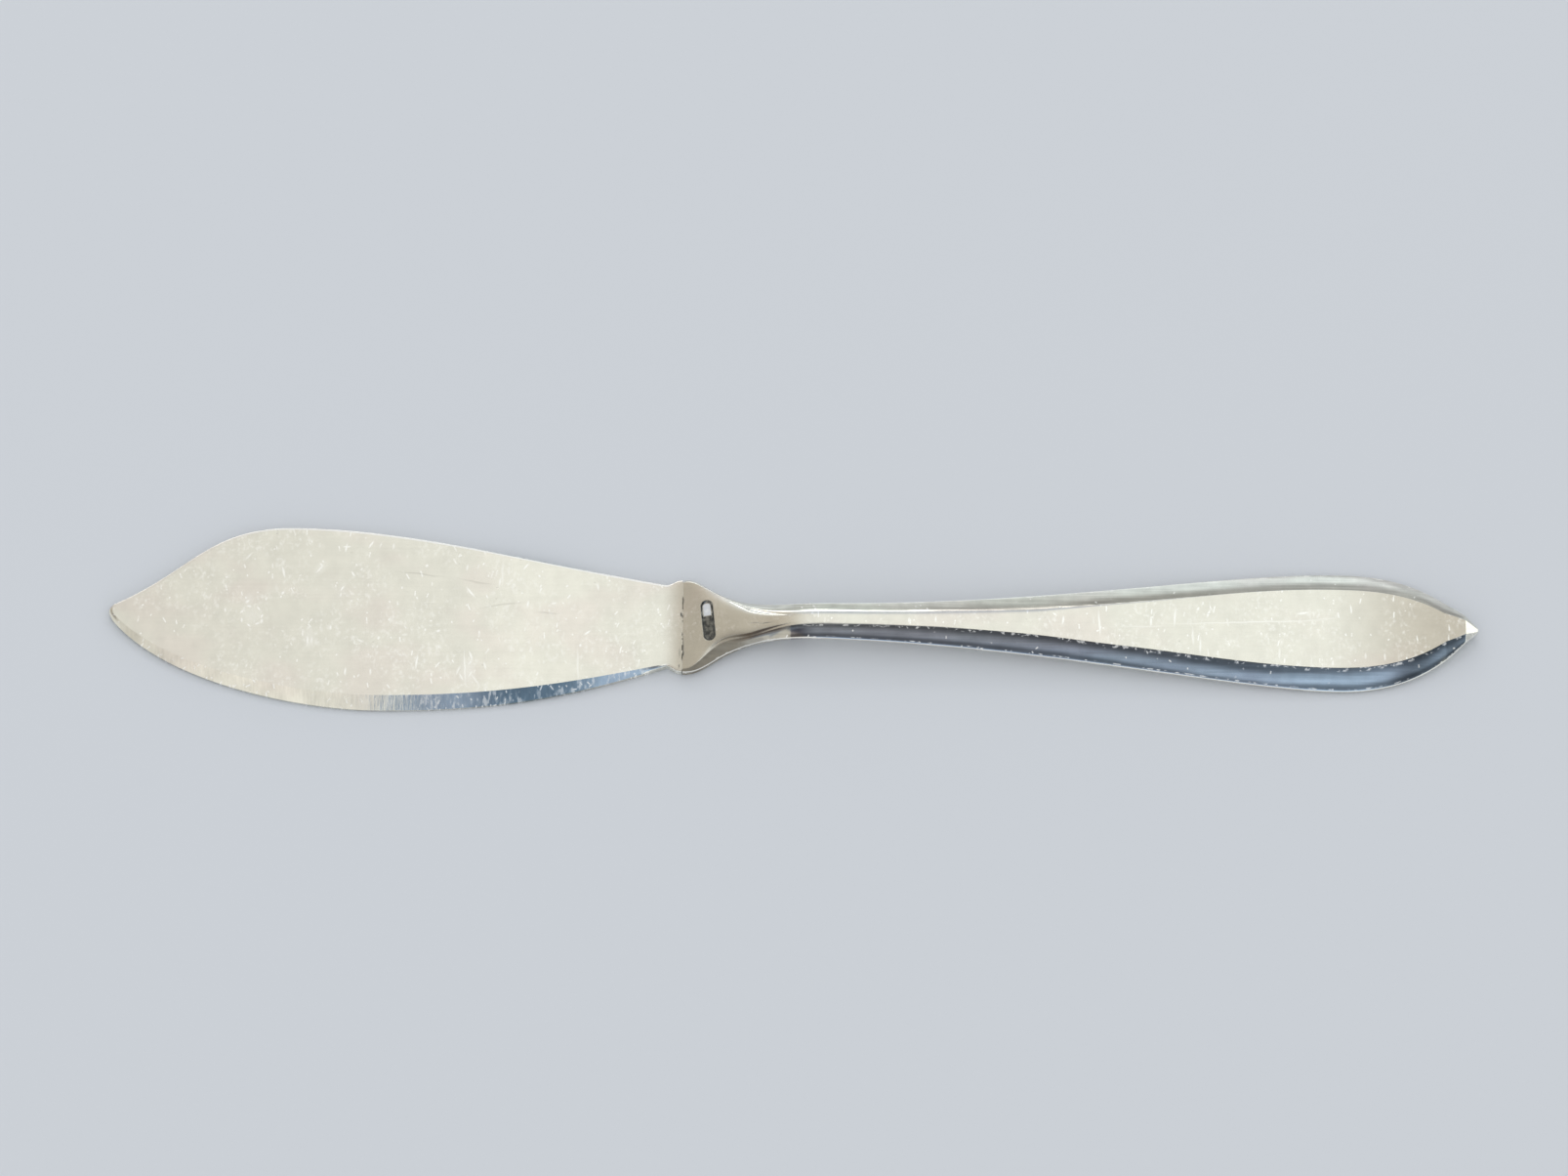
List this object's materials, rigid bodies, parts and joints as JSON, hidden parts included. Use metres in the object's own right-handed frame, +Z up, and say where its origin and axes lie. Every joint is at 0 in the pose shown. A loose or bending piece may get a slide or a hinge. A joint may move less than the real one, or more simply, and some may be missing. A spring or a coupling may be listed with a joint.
{
  "type": "butter knife",
  "caption": "Butter knife with a broad leaf-shaped blade, a slim raised neck and a flat pointed handle, for serving and spreading butter.",
  "frame": {"origin": "middle of the knife's footprint, on the surface that it lies on", "axes": "+X from the blade's nose to the handle's tip, +Y to the spine's side, +Z up from the back to the front face"},
  "size_m": [0.1702, 0.024, 0.0042],
  "materials": {
    "blade_metal": "polished silver, scratched by use",
    "handle_metal": "polished silver, scratched by use",
    "seam_solder": "tarnished hard solder"
  },
  "bodies": {
    "root": {"blade": "blade_metal", "handle": "handle_metal", "solder": "seam_solder"}
  },
  "joints": []
}
